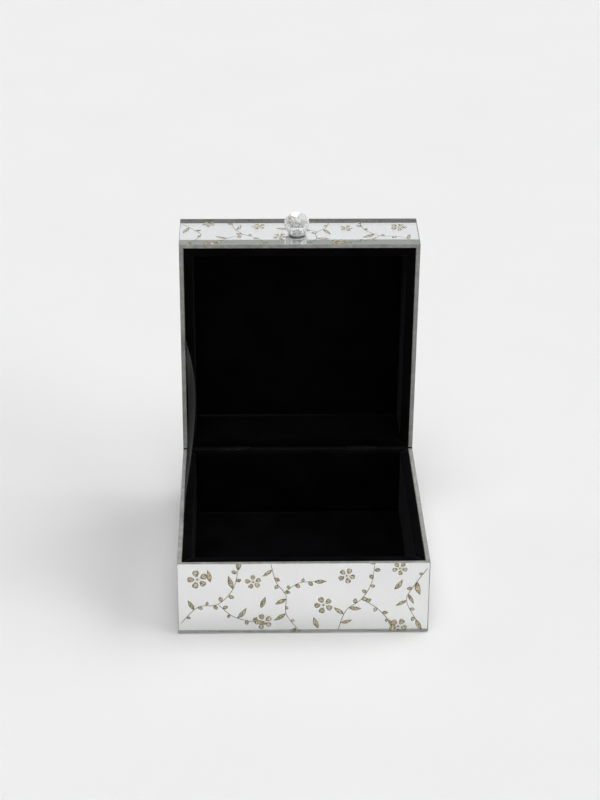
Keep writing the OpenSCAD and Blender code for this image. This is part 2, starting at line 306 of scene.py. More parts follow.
def make_weave(name, low, high, pitch):
    """Plain woven cloth: two sets of threads, crossed on an upright cloth and broad bands on a level one."""
    mat, tree, shader = material(
        name, Roughness=0.9, Specular_IOR_Level=0.1, Sheen_Weight=0.01, Sheen_Roughness=0.5,
    )
    mix = tree.nodes.new("ShaderNodeMath")
    mix.operation = "MULTIPLY"
    for socket, way in zip(mix.inputs, "XZ"):
        threads = texture(tree, "ShaderNodeTexWave", 0.5 / pitch, 0, wave_type="BANDS", bands_direction=way)
        tree.links.new(threads.outputs["Fac"], socket)
    tree.links.new(ramp(tree, mix.outputs[0], [(0.1, low), (0.8, high)]), shader.inputs["Base Color"])
    bump(tree, shader, mix.outputs[0], 0.5, 0.0001)
    return mat


def make_felt():
    """Black felt with matted fibres."""
    mat, tree, shader = material(
        "felt", Roughness=1.0, Specular_IOR_Level=0.1, Sheen_Weight=0.2, Sheen_Roughness=0.6,
    )
    fibres = texture(tree, "ShaderNodeTexNoise", 1400, 6, (1, 3, 1))
    tree.links.new(
        ramp(tree, fibres.outputs["Fac"], [(0.35, (0.006, 0.006, 0.0065)), (0.7, (0.03, 0.03, 0.031))]),
        shader.inputs["Base Color"],
    )
    bump(tree, shader, fibres.outputs["Fac"], 0.6, 0.0003)
    return mat


def make_satin():
    """Satin floats run along the ribbon, so the gloss is drawn out across it."""
    mat, tree, shader = material(
        "satin", Roughness=0.55, Specular_IOR_Level=0.09, Sheen_Weight=0.02, Sheen_Roughness=0.3,
        Anisotropic=0.5,
    )
    floats = texture(tree, "ShaderNodeTexNoise", 500, 3, (14, 1, 1))
    tree.links.new(
        ramp(tree, floats.outputs["Fac"], [(0.3, (0.001, 0.001, 0.0014)), (0.7, (0.0036, 0.0036, 0.0042))]),
        shader.inputs["Base Color"],
    )
    bump(tree, shader, floats.outputs["Fac"], 0.25, 0.00006)
    return mat


def make_fibreboard(name, dark, pale):
    """Pressed board with short fibres."""
    mat, tree, shader = material(name, Roughness=0.85, Specular_IOR_Level=0.25)
    fibres = texture(tree, "ShaderNodeTexNoise", 700, 8, (1, 1, 2.5))
    tree.links.new(ramp(tree, fibres.outputs["Fac"], [(0.3, dark), (0.7, pale)]), shader.inputs["Base Color"])
    bump(tree, shader, fibres.outputs["Fac"], 0.3, 0.0001)
    return mat


def make_metal(name, dark, pale, roughness, scale=900, wear=0.0002, **values):
    """Metal or lacquer with fine marks in its colour, its gloss and its surface."""
    mat, tree, shader = material(name, Roughness=roughness, **{"Metallic": 1.0, **values})
    marks = texture(tree, "ShaderNodeTexNoise", scale, 5).outputs["Fac"]
    smooth, rough = roughness * 0.7, min(1.0, roughness * 1.5)
    tree.links.new(ramp(tree, marks, [(0.35, dark), (0.68, pale)]), shader.inputs["Base Color"])
    tree.links.new(ramp(tree, marks, [(0.3, smooth), (0.75, rough)]), shader.inputs["Roughness"])
    bump(tree, shader, marks, 0.15, wear)
    return mat


def make_crystal():
    """The knob's glass, a little milky, with faint wear."""
    mat, tree, shader = material(
        "crystal", Transmission_Weight=0.82, IOR=1.52, Roughness=0.0, Base_Color=(0.985, 0.995, 0.99, 1)
    )
    marks = texture(tree, "ShaderNodeTexNoise", 400, 3)
    tree.links.new(ramp(tree, marks.outputs["Fac"], [(0.5, 0.0), (0.95, 0.02)]), shader.inputs["Roughness"])
    return mat


GLASS = make_glass()
GLASS_EDGE = make_glass_edge("glass_edge", (0.44, 0.45, 0.425), (0.6, 0.61, 0.58), 0.5)
# Opaque dark olive. On the lid's top panel this colour paints in the dark reflection its edges show; the
# lid's sides' covered top edges are glued.
GLUED_AND_PAINTED_REFLECTION_EDGE = make_glass_edge("glued_and_painted_reflection_edge", (0.055, 0.055, 0.034), (0.13, 0.125, 0.085), 0.0)
SILVER = make_silver()
PRINT_LINE = make_glitter(
    "print_outline", [(0.14, 0.11, 0.05), (0.26, 0.2, 0.09), (0.2, 0.16, 0.08), (0.42, 0.34, 0.17)], 0.0004
)
PRINT_FILL = make_glitter(
    "print_fill",
    [
        (0.9, 0.7, 0.42), (0.6, 0.5, 0.2), (1.0, 0.93, 0.7), (0.66, 0.64, 0.28),
        (1.0, 0.7, 0.52), (0.22, 0.18, 0.08), (1.0, 1.0, 0.95),
    ],
    0.0007,
)
VELVET = make_velvet()
CLOTH = make_weave("back_cloth", (0.003, 0.003, 0.0035), (0.009, 0.009, 0.01), 0.0005)
FELT = make_felt()
SATIN = make_satin()
BOARD = make_fibreboard("fibreboard", (0.3, 0.19, 0.1), (0.55, 0.39, 0.24))
BOTTOM = make_fibreboard("stained_board", (0.01, 0.009, 0.008), (0.035, 0.03, 0.027))
LACQUER = make_metal(
    "black_lacquer", (0.002, 0.002, 0.0024), (0.006, 0.006, 0.007), 0.5, 700,
    Metallic=0.0, Specular_IOR_Level=0.08,
)
STEEL = make_metal("blackened_steel", (0.005, 0.005, 0.006), (0.016, 0.016, 0.015), 0.45)
ZINC = make_metal("zinc", (0.42, 0.43, 0.45), (0.62, 0.63, 0.64), 0.3)
CHROME = make_metal("chrome", (0.86, 0.86, 0.85), (0.95, 0.95, 0.94), 0.22, 500, wear=0.00005, Metallic=0.5)
CRYSTAL = make_crystal()


# ---------------------------------------------------------------- CAD nodes that stay

KEPT = {
    "bottom_board": BOTTOM, "lid_top_board": BOARD,
    "hinge_leaves_base": LACQUER, "hinge_leaves_lid": LACQUER,
    "hinge_screws_base": ZINC, "hinge_screws_lid": ZINC, "hinge_pins": STEEL,
    "knob_collar": CHROME, "knob_screw": ZINC, "knob_washer": ZINC, "knob_crystal": CRYSTAL,
}
KEPT.update({f"{body}_board_{side}": BOARD for body in PLACES for side in SIDES})
for kept_name, kept_material in KEPT.items():
    kept_mesh = NODES[kept_name].data
    kept_mesh.materials.clear()
    kept_mesh.materials.append(kept_material)


# ---------------------------------------------------------------- flat panels

class Panel:
    """A flat CAD node: u to the right and v up as seen from outside, n out of its face, in millimetres."""

    AXES = {
        "front": ((1, 0, 0), (0, 0, 1)),
        "right": ((0, 1, 0), (0, 0, 1)),
        "back": ((-1, 0, 0), (0, 0, 1)),
        "left": ((0, -1, 0), (0, 0, 1)),
        "top": ((1, 0, 0), (0, 1, 0)),
        "underside": ((1, 0, 0), (0, -1, 0)),
    }

    def __init__(self, node):
        self.name = node
        self.side = node.split("_")[-1]
        self.body = NODES[node]["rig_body"]
        low, high = shut_box(node)
        # The back cloths' names end in no side.
        u, v = (Vector(a) for a in self.AXES[self.side if self.side in self.AXES else "back"])
        n = u.cross(v)
        corner = Vector(high[i] if u[i] + v[i] < 0 or n[i] > 0 else low[i] for i in range(3))
        size = high - low
        self.w, self.h, self.t = (abs(size.dot(a)) / MM for a in (u, v, n))
        turn = Matrix((u, v, n)).transposed().to_4x4()
        self.place = Matrix.Translation(corner) @ turn @ Matrix.Scale(MM, 4)

    def put(self, name, bm, materials, slot):
        bmesh.ops.transform(bm, matrix=self.place, verts=bm.verts)
        return piece(name, bm, materials, self.body)


# ---------------------------------------------------------------- mirror glass

# Lengths are in millimetres. The lows and highs are above the panel's back face.
FACE_GAP = 0.01      # keeps glass off what it touches
ARRIS = 0.22         # ground edge
SILVER_INSET = 0.3
SILVER_LOW, SILVER_HIGH = 0.03, 0.06
PRINT_LOW, LINE_HIGH, FILL_HIGH = 0.07, 0.11, 0.15
TOP_TURNS = 19       # the print's shapes take turns at this many heights, this far apart, so that
TOP_STEP = 0.0021    # overlapping tops seldom coincide, which would render as black blots
SCRAP_AREA = 0.02    # a shape cut down to less than this, in square millimetres, is left out


def make_glass_panel(panel):
    """The clear slab, which stands for the CAD panel, and the silvering inside its back face."""
    bm = bmesh.new()
    add_box(
        bm,
        (FACE_GAP, FACE_GAP, -panel.t + FACE_GAP),
        (panel.w - FACE_GAP, panel.h - FACE_GAP, -FACE_GAP),
    )
    bevel_all(bm, ARRIS)
    bm.normal_update()
    # The opaque dark edges are the top panel's own, whose dark olive is a painted dark reflection, and those
    # of the lid's sides that it covers, which are glued.
    for f in bm.faces:
        glued = panel.body == "lid" and (panel.side == "top" or f.normal.y > 0.5)
        f.material_index = 0 if abs(f.normal.z) > 0.99 else 2 if glued else 1
    slab = panel.put(panel.name + "_slab", bm, [GLASS, GLASS_EDGE, GLUED_AND_PAINTED_REFLECTION_EDGE], "clear_glass")
    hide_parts(panel.name)
    bm = bmesh.new()
    add_box(
        bm,
        (SILVER_INSET, SILVER_INSET, -panel.t + SILVER_LOW),
        (panel.w - SILVER_INSET, panel.h - SILVER_INSET, -panel.t + SILVER_HIGH),
    )
    panel.put(panel.name + "_silvering", bm, [SILVER], "mirror_glass")


# ---------------------------------------------------------------- the print

def clip(outline, low_u, low_v, high_u, high_v):
    """The part of an outline inside a rectangle."""
    sides = ((0, low_u, False), (0, high_u, True), (1, low_v, False), (1, high_v, True))
    for axis, limit, keep_below in sides:
        kept = []
        for i, here in enumerate(outline):
            there = outline[(i + 1) % len(outline)]
            inside = (here[axis] <= limit) if keep_below else (here[axis] >= limit)
            next_inside = (there[axis] <= limit) if keep_below else (there[axis] >= limit)
            if inside:
                kept.append(here)
            if inside != next_inside:
                share = (limit - here[axis]) / (there[axis] - here[axis])
                kept.append(tuple(here[k] + share * (there[k] - here[k]) for k in (0, 1)))
        outline = kept
        if len(outline) < 3:
            return []
    return outline


def area_of(outline):
    """The area inside an outline."""
    total = 0.0
    for i, (x, y) in enumerate(outline):
        nx, ny = outline[(i + 1) % len(outline)]
        total += x * ny - nx * y
    return abs(total) / 2


def spline(points, steps=5):
    """Catmull-Rom through the points."""
    out = []
    last = len(points) - 1
    for i in range(last):
        p0, p1, p2, p3 = (points[min(max(i + k, 0), last)] for k in (-1, 0, 1, 2))
        for j in range(steps):
            t = j / steps
            out.append(tuple(
                0.5 * (
                    2 * p1[k] + (p2[k] - p0[k]) * t
                    + (2 * p0[k] - 5 * p1[k] + 4 * p2[k] - p3[k]) * t * t
                    + (3 * p1[k] - p0[k] - 3 * p2[k] + p3[k]) * t ** 3
                )
                for k in (0, 1)
            ))
    return out + [points[-1]]


def placed(u, v, angle, points):
    """Points (along, across) from (u, v), with along at an angle in radians."""
    c, s = math.cos(angle), math.sin(angle)
    return [(u + c * a - s * b, v + s * a + c * b) for a, b in points]


class Print:
    """Blossoms, leaves, buds and branches on one panel, in the panel's millimetres."""

    def __init__(self, panel, seed):
        self.panel = panel
        self.bm = bmesh.new()
        self.random = random.Random(seed)
        self.mirrored = panel.side == "left" or panel.name == "lid_glass_front"
        self.count = 0

    def at(self, *points):
        """Points from shares of the panel's width and height, counted from the right where it is mirrored."""
        w, h = self.panel.w, self.panel.h
        return [(w - u * w if self.mirrored else u * w, v * h) for u, v in points]

    def shape(self, outline, high, index):
        """One flat shape, cut off at the panel's edges; index 0 is the line colour and 1 the fill."""
        edge = SILVER_INSET
        outline = clip(outline, edge, edge, self.panel.w - edge, self.panel.h - edge)
        if outline and area_of(outline) > SCRAP_AREA:
            self.count = (self.count + 1) % TOP_TURNS
            back = -self.panel.t
            add_prism(self.bm, outline, back + PRINT_LOW, back + high + self.count * TOP_STEP, index)

    def filled(self, outline, inset):
        """An outline in the line colour, with a smaller copy of itself in the fill colour on it."""
        self.shape(outline, LINE_HIGH, 0)
        cu = sum(p[0] for p in outline) / len(outline)
        cv = sum(p[1] for p in outline) / len(outline)
        self.shape([(cu + (u - cu) * inset, cv + (v - cv) * inset) for u, v in outline], FILL_HIGH, 1)

    def petal(self, u, v, angle, length):
        """A round petal, wider towards its outer end, where it has a shallow notch."""
        points = []
        for i in range(16):
            a = 2 * math.pi * i / 16
            along = length * (0.5 + 0.5 * math.cos(a)) * (0.93 if i == 0 else 1.0)
            points.append((along, 0.54 * length * math.sin(a) * (0.62 + 0.38 * along / length)))
        self.filled(placed(u, v, angle, points), 0.76)

    def blossom(self, u, v, r, turn=90):
        """Five petals round a bare middle with dotted stamens."""
        for k in range(5):
            a = math.radians(turn + 72 * k + self.random.uniform(-5, 5))
            length = r * self.random.uniform(0.63, 0.7)
            start = 0.33 * r
            self.petal(u + start * math.cos(a), v + start * math.sin(a), a, length)
        for k in range(10):
            a = math.radians(turn + 36 * k + 18)
            (root, tip) = placed(u, v, a, [(0.08 * r, 0), (r * (0.42 if k % 2 else 0.3), 0)])
            self.stem([root, tip], 0.13)
            self.dot(*tip, 0.16)
        self.dot(u, v, 0.1 * r)

    def dot(self, u, v, r):
        ring = [(r * math.cos(k * math.pi / 4), r * math.sin(k * math.pi / 4)) for k in range(8)]
        self.shape(placed(u, v, 0, ring), FILL_HIGH, 0)

    def leaf(self, u, v, angle, length, share=0.34):
        """A pointed leaf with a midrib, from its stalk end."""
        steps = 9
        bend = self.random.uniform(-0.08, 0.08) * length
        upper, lower, rib = [], [], []
        for i in range(steps + 1):
            t = i / steps
            half = share / 2 * length * math.sin(math.pi * t ** 0.85) ** 1.1 if 0 < t < 1 else 0.0
            middle = bend * math.sin(math.pi * t)
            upper.append((t * length, middle + half))
            lower.append((t * length, middle - half))
            rib.append((t * length, middle))
        self.filled(placed(u, v, angle, upper + lower[-2:0:-1]), 0.72)
        self.stem(placed(u, v, angle, rib[1:-2]), 0.15, FILL_HIGH + 0.02)

    def bud(self, u, v, angle, r):
        """A small round bud with a blunt tip."""
        points = []
        for i in range(12):
            a = 2 * math.pi * i / 12
            points.append((r + r * math.cos(a) * (1.25 if i == 0 else 1.0), r * 0.84 * math.sin(a)))
        self.filled(placed(u, v, angle, points), 0.64)

    def stem(self, points, width=0.38, high=LINE_HIGH):
        """A thin line through the points, tapered at its ends."""
        rows = []
        for i, (u, v) in enumerate(points):
            a = points[max(i - 1, 0)]
            b = points[min(i + 1, len(points) - 1)]
            angle = math.atan2(b[1] - a[1], b[0] - a[0])
            half = width / 2 * (0.6 if i in (0, len(points) - 1) else 1.0)
            rows.append(placed(u, v, angle, [(0, half), (0, -half)]))
        for (a, b), (c, d) in zip(rows, rows[1:]):
            self.shape([a, b, d, c], high, 0)

    def branch(self, *points, pitch=3.9, side=1):
        """A stem through the points, with buds and leaves on alternate sides and a leaf at its tip."""
        line = spline(points)
        self.stem(line)
        walked, due = 0.0, pitch * self.random.uniform(0.5, 1.0)
        for (u0, v0), (u1, v1) in zip(line, line[1:]):
            walked += math.hypot(u1 - u0, v1 - v0)
            if walked < due:
                continue
            due = walked + pitch * self.random.uniform(0.75, 1.3)
            side = -side
            heading = math.atan2(v1 - v0, u1 - u0)
            angle = heading + side * math.radians(self.random.uniform(42, 78))
            if self.random.random() < 0.27:
                self.leaf(u1, v1, angle, self.random.uniform(7.0, 9.8), self.random.uniform(0.27, 0.36))
            else:
                reach = self.random.uniform(0.0, 0.5)
                (tip,) = placed(u1, v1, angle, [(reach, 0)])
                self.stem([(u1, v1), tip], 0.3)
                self.bud(*tip, angle, self.random.uniform(1.1, 1.6))
        heading = math.atan2(line[-1][1] - line[-2][1], line[-1][0] - line[-2][0])
        self.leaf(*line[-1], heading, self.random.uniform(7.5, 9.5))

    def done(self):
        self.panel.put(self.panel.name + "_print", self.bm, [PRINT_LINE, PRINT_FILL], "gold_print")


def print_front(p):
    """Sprays rise and fall across a front panel. The lid's are mirrored and sparser."""
    pitch, size = (5.4, 0.84) if p.mirrored else (3.9, 1.0)
    p.branch(*p.at((0.01, 0.12), (0.08, 0.36), (0.16, 0.4), (0.22, 0.62), (0.24, 0.88)), pitch=pitch)
    p.branch(*p.at((0.16, 0.4), (0.22, 0.22), (0.3, 0.14)), pitch=pitch, side=-1)
    p.branch(*p.at((0.37, 0.98), (0.39, 0.72), (0.43, 0.52), (0.43, 0.26), (0.48, 0.02)), pitch=pitch)
    p.branch(*p.at((0.42, 0.56), (0.48, 0.7), (0.54, 0.72)), pitch=pitch, side=-1)
    p.branch(*p.at((0.64, 0.02), (0.67, 0.3), (0.73, 0.46), (0.77, 0.7), (0.78, 0.96)), pitch=pitch)
    p.branch(*p.at((0.73, 0.46), (0.79, 0.34), (0.84, 0.16)), pitch=pitch, side=-1)
    p.branch(*p.at((0.99, 0.9), (0.94, 0.66), (0.91, 0.44), (0.95, 0.16)), pitch=pitch)
    if not p.mirrored:
        stalks = p.at((0.33, 0.34), (0.56, 0.04), (0.86, 0.6), (0.13, 0.72))
        for (u, v), angle in zip(stalks, (70, 110, 55, 100)):
            p.leaf(u, v, math.radians(angle), 8.5)
    middles = p.at(
        (0.08, 0.76), (0.3, 0.72), (0.34, 0.14), (0.58, 0.38), (0.67, 0.8), (0.88, 0.9), (0.88, 0.06)
    )
    for (u, v), r in zip(middles, (6.2, 4.8, 5.4, 5.8, 5.2, 4.6, 5.6)):
        p.blossom(u, v, r * size, 80 + 2 * u)


def print_side(p):
    """The vine runs back from the front corner on both sides, so the left side's is mirrored."""
    p.branch(*p.at((0.04, 0.3), (0.12, 0.36), (0.2, 0.3), (0.28, 0.5), (0.34, 0.8)))
    p.branch(*p.at((0.2, 0.3), (0.27, 0.14), (0.35, 0.2)), side=-1)
    p.branch(*p.at((0.42, 0.86), (0.5, 0.62), (0.58, 0.5), (0.66, 0.3), (0.7, 0.06)))
    p.branch(*p.at((0.58, 0.5), (0.66, 0.6), (0.74, 0.84)), side=-1)
    p.branch(*p.at((0.8, 0.05), (0.84, 0.4), (0.9, 0.6), (0.95, 0.92)))
    middles = p.at((0.03, 0.76), (0.44, 0.15), (0.47, 0.42), (0.78, 0.72), (0.9, 0.16))
    for (u, v), r in zip(middles, (6.2, 4.2, 5.6, 5.8, 4.6)):
        p.blossom(u, v, r, 90 + 3 * u)


def print_top(p):
    """Three runs of the vine cross the top, with blossoms where they turn."""
    for u, v in ((14, 0), (61, -13), (108, 8)):
        p.branch((u, v + 2), (u + 8, v + 16), (u + 4, v + 30), (u + 14, v + 44), (u + 26, v + 52))
        p.branch((u + 14, v + 44), (u + 8, v + 62), (u + 16, v + 78), (u + 10, v + 94), side=-1)
        p.branch((u + 30, v + 62), (u + 26, v + 80), (u + 34, v + 96), (u + 28, v + 116))
        p.branch((u + 2, v + 104), (u + 12, v + 118), (u + 8, v + 132), (u + 18, v + 145))
        for du, dv, r in ((-4, 22, 5.6), (22, 34, 6.2), (0, 74, 5.4), (22, 90, 4.4), (20, 128, 6.0)):
            p.blossom(u + du, v + dv, r, 80 + u + dv)


GLASS_NODES = [
    "base_glass_front", "base_glass_right", "base_glass_left",
    "lid_glass_front", "lid_glass_right", "lid_glass_left", "lid_glass_top",
]
for seed, node in enumerate(GLASS_NODES, 3):
    panel = Panel(node)
    make_glass_panel(panel)
    pattern = Print(panel, seed)
    if panel.side == "front":
        print_front(pattern)
    elif panel.side == "top":
        print_top(pattern)
    else:
        print_side(pattern)
    pattern.done()


# ---------------------------------------------------------------- velvet on the walls

front_board = shut_box("base_board_front")
back_board = shut_box("base_board_back")
CORE_X = front_board[1].x
CORE_FRONT, CORE_BACK = front_board[0].y, back_board[1].y
BOARD_T = front_board[1].y - front_board[0].y
lining_box = shut_box("base_lining_front")
WALL_T = lining_box[1].y - lining_box[0].y
LINING_T = WALL_T - BOARD_T
leaf_xs = [v.co.x for v in NODES["hinge_leaves_base"].data.vertices if v.co.x > 0]
HINGE_X = (min(leaf_xs) + max(leaf_xs)) / 2
HINGE_HALF = (max(leaf_xs) - min(leaf_xs)) / 2
RIBBON_T = 0.4 * MM
RIBBON_W = 10 * MM
STAY_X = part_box("ribbon_stay")[0].x + RIBBON_T / 2
WAVER = 0.12   # how far a velvet face wavers, mm


def slot_middle(body):
    """How far back the middle of the ribbon's slot is in one half of the box, with the lid shut."""
    back = PLACES[body].inverted()
    rim = shut_box("base_lining_front")[1].z
    up = 1 if body == "lid" else -1
    points = [back @ v.co for v in NODES["ribbon_stay"].data.vertices]
    tucked = [p.y for p in points if up * (p.z - rim) > 2 * MM]
    return (min(tucked) + max(tucked)) / 2


STAY_Y = {body: slot_middle(body) for body in PLACES}


def notches(body, index):
    """Where a wall's velvet stands back from its outer face: (centre along the wall, half width, inset)."""
    if SIDES[index] == "back":
        return [(CORE_X + s * HINGE_X, HINGE_HALF + 0.3 * MM, 0.6 * MM) for s in (-1, 1)]
    if SIDES[index] == "left":
        return [(CORE_BACK - STAY_Y[body], RIBBON_W / 2 + 0.2 * MM, RIBBON_T + 0.25 * MM)]
    return []


def core_corner(index, inset):
    """A corner of the boards' outline, moved inwards. Wall n runs from corner n to corner n + 1."""
    x = CORE_X - inset
    front, back = CORE_FRONT + inset, CORE_BACK - inset
    return Vector(((-x, front, 0), (x, front, 0), (x, back, 0), (-x, back, 0))[index % 4])


def lining_section(depth):
    """Closed section of a wall's velvet: (inset from the boards' outer face, distance below the rim)."""
    r = 1.1 * MM
    rim = [(0.12, 0.4), (0.2, 0.12), (0.6, 0.0), (WALL_T / MM * 0.35, -0.06), (WALL_T / MM * 0.62, -0.04)]
    turns = [k * math.pi / 10 for k in range(6)]
    corner = [(WALL_T - r + r * math.sin(a), r - r * math.cos(a)) for a in turns]
    face = [(WALL_T, depth * k / 8) for k in range(1, 9)]
    behind = BOARD_T + 0.05 * MM
    under = LINING_T - 0.02 * MM
    back = [(behind, depth), (behind, under), (0.12 * MM, under)]
    return [(a * MM, b * MM) for a, b in rim] + corner + face + back


def wall_stations(cuts, length):
    """Shares of a wall's length at which its section is set, closer at the edges of a notch."""
    seam, steps = 0.08 * MM, 36
    marks = {seam + (length - 2 * seam) * k / steps for k in range(steps + 1)}
    for centre, half, _ in cuts:
        marks |= {centre + s * (half + extra) for s in (-1, 1) for extra in (0, 0.2 * MM)}
    return [m / length for m in sorted(marks)]


def make_lining(node, index, rim, far):
    """Velvet on one wall, mitred at its ends, from the rim to the far edge."""
    body = NODES[node]["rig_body"]
    depth = abs(far - rim)
    direction = 1 if far > rim else -1
    length = (core_corner(index + 1, 0) - core_corner(index, 0)).length
    inward = (
        core_corner(index, 1 * MM) - core_corner(index, 0)
        + core_corner(index + 1, 1 * MM) - core_corner(index + 1, 0)
    ).normalized()
    section = lining_section(depth)
    cuts = notches(body, index)
    bm = bmesh.new()
    rings = []
    for t in wall_stations(cuts, length):
        cut_here = [inset for centre, half, inset in cuts if abs(t * length - centre) <= half + 1e-6]
        least = max(cut_here + [0.0])
        ring = []
        for inset, below in section:
            inset = max(inset, least)
            p = core_corner(index, inset).lerp(core_corner(index + 1, inset), t)
            swell = 0.5 + 0.5 * noise.noise(Vector((p.x * 60, p.y * 60, below * 45 + index * 7)))
            # Only the face wavers, not the rim, the far edge or the side on the board.
            if 2 * MM < below < depth - 0.5 * MM and inset > BOARD_T + 0.2 * MM:
                p = p + inward * swell * WAVER * MM
            p.z = rim + direction * below
            ring.append(bm.verts.new(p))
        rings.append(ring)
    skin(bm, rings)
    obj = piece(node + "_velvet", bm, [VELVET], body, smooth=True)
    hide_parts(node)


for index, side in enumerate(SIDES):
    base_low, base_high = shut_box(f"base_lining_{side}")
    make_lining(f"base_lining_{side}", index, base_high.z, base_low.z)
    lid_low, lid_high = shut_box(f"lid_lining_{side}")
    make_lining(f"lid_lining_{side}", index, lid_low.z, lid_high.z)


# ---------------------------------------------------------------- the padded floor and the ceiling

CARD_ROUNDING = 3.2 * MM   # how far in from its edges a card's front is rounded


def make_velvet_card(node, facing, crown, droop, cells=30):
    """A velvet card, flat behind, with its front rounded down at the edges and crowned in the middle.

    Gives the piece and the card's size.
    """
    low, high = shut_box(node)
    front_z, back_z = (high.z, low.z) if facing > 0 else (low.z, high.z)
    bm = bmesh.new()
    grid = []
    for i in range(cells + 1):
        row = []
        for j in range(cells + 1):
            s, t = (0.5 - 0.5 * math.cos(math.pi * k / cells) for k in (i, j))
            x = low.x + (high.x - low.x) * s
            y = low.y + (high.y - low.y) * t
            edge = min(x - low.x, high.x - x, y - low.y, high.y - y)
            fall = droop * max(0.0, 1 - edge / CARD_ROUNDING) ** 2
            swell = crown * math.sqrt(math.sin(math.pi * s) * math.sin(math.pi * t))
            wave = noise.noise(Vector((x * 40, y * 40, 3.0 * facing)))
            ripple = wave * WAVER * MM * min(1, edge / (8 * MM))
            row.append(bm.verts.new((x, y, front_z + facing * (swell - fall + ripple))))
        grid.append(row)
    for i in range(cells):
        for j in range(cells):
            bm.faces.new((grid[i][j], grid[i + 1][j], grid[i + 1][j + 1], grid[i][j + 1]))
    rim = (
        [grid[i][0] for i in range(cells)] + [grid[cells][j] for j in range(cells)]
        + [grid[i][cells] for i in range(cells, 0, -1)] + [grid[0][j] for j in range(cells, 0, -1)]
    )
    under = [bm.verts.new((v.co.x, v.co.y, back_z + facing * 0.02 * MM)) for v in rim]
    for k in range(len(rim)):
        m = (k + 1) % len(rim)
        bm.faces.new((rim[k], under[k], under[m], rim[m]))
    bm.faces.new(under)
    obj = piece(node + "_velvet", bm, [VELVET], NODES[node]["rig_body"], smooth=True)
    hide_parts(node)
    return obj, (high.x - low.x, high.y - low.y)


floor_pad, _ = make_velvet_card("floor_pad", 1, 0.6 * MM, 0.8 * MM)
ceiling, ceiling_size = make_velvet_card("lid_ceiling_lining", -1, 0.15 * MM, 0.3 * MM)


# ---------------------------------------------------------------- cloth on the back, felt underneath

KNUCKLE_CUT = 1.7   # depth of the cloth's cut-outs round the hinges' knuckles, mm


def make_glued_sheet(panel, suffix, mat, slot, edge, cuts=(), cut_v=0.0):
    """A thin glued sheet with soft edges; cuts are (centre, half width) along its top or bottom edge."""
    w, h = panel.w, panel.h
    side = []
    for centre, half in sorted(cuts):
        left, right = centre - half, centre + half
        inner = cut_v + (KNUCKLE_CUT if cut_v == 0 else -KNUCKLE_CUT)
        side += [(left, cut_v), (left, inner), (right, inner), (right, cut_v)]
    if cut_v == 0:
        outline = [(0, 0)] + side + [(w, 0), (w, h), (0, h)]
    else:
        outline = [(0, 0), (w, 0), (w, h)] + side[::-1] + [(0, h)]
    bm = bmesh.new()
    add_prism(bm, outline, -panel.t + 0.02, -0.02)
    bevel_all(bm, edge, 2)
    obj = panel.put(panel.name + suffix, bm, [mat], slot)
    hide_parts(panel.name)


for body in ("base", "lid"):
    cloth = Panel(f"{body}_back_cloth")
    middle = cloth.w / 2
    knuckles = [(middle + s * HINGE_X / MM, HINGE_HALF / MM + 0.4) for s in (-1, 1)]
    rim = cloth.h if body == "base" else 0.0
    make_glued_sheet(cloth, "_woven", CLOTH, "cloth", 0.12, knuckles, rim)

make_glued_sheet(Panel("felt_underside"), "_pad", FELT, "felt", 0.2)


# ---------------------------------------------------------------- spine cloth, folded round the hinge axis

def spine_line(leg, off, turn_at=0.25 * MM, steps=8):
    """The strip's middle line as (place, way out of its face), from the base's leg round to the lid's."""
    shut = [(-leg, 0.0), (-leg / 2, 0.0)]
    for k in range(steps + 1):
        t = k / steps
        shut.append((turn_at * (2 * t - 1), smooth_step(t)))
    shut += [(leg / 2, 1.0), (leg, 1.0)]
    line = []
    for rise, share in shut:
        turn = Matrix.Rotation(-open_angle * share, 3, "X")
        line.append((pivot + turn @ Vector((0, -off, rise)), turn @ Vector((0, 1, 0))))
    return line


def make_spine():
    """Three strips that close the gap at the back, beside and between the hinges."""
    thick, margin = 0.24 * MM, 0.03 * MM
    reach = shut_box("base_back_cloth")[1].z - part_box("spine_cloth")[0].z - margin
    off = pivot.y - shut_box("base_back_cloth")[1].y - 0.16 * MM
    line = spine_line(reach, off)
    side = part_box("spine_cloth")[1].x
    runs = [
        (-side, -HINGE_X - HINGE_HALF),
        (-HINGE_X + HINGE_HALF, HINGE_X - HINGE_HALF),
        (HINGE_X + HINGE_HALF, side),
    ]
    bm = bmesh.new()
    for left, right in runs:
        cells = max(4, round((right - left) / (3 * MM)))
        rings = []
        for i in range(cells + 1):
            x = left + margin + (right - left - 2 * margin) * i / cells
            outer = [bm.verts.new((x, *(p + out * thick / 2).yz)) for p, out in line]
            inner = [bm.verts.new((x, *(p - out * thick / 2).yz)) for p, out in line]
            rings.append(outer + inner[::-1])
        skin(bm, rings)
    bmesh.ops.recalc_face_normals(bm, faces=bm.faces)
    obj = loose_piece("spine_cloth_woven", bm, CLOTH)
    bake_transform(obj)
    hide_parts("spine_cloth")


make_spine()


# ---------------------------------------------------------------- ribbon stay

INWARD = Vector((1, 0, 0))   # from the left wall towards the middle of the box


def slot_mouth(body):
    """The middle of the slot's mouth, the way out of the slot and the way across the ribbon there."""
    rim = shut_box("base_lining_front")[1].z if body == "base" else shut_box("lid_lining_front")[0].z
    place = PLACES[body]
    turn = place.to_3x3()
    out = Vector((0, 0, 1 if body == "base" else -1))
    return place @ Vector((STAY_X, STAY_Y[body], rim)), turn @ out, turn @ Vector((0, 1, 0))


def along_level(way, level):
    """The same line, pointing the way that level does."""
    return way if way.dot(level) > 0 else -way


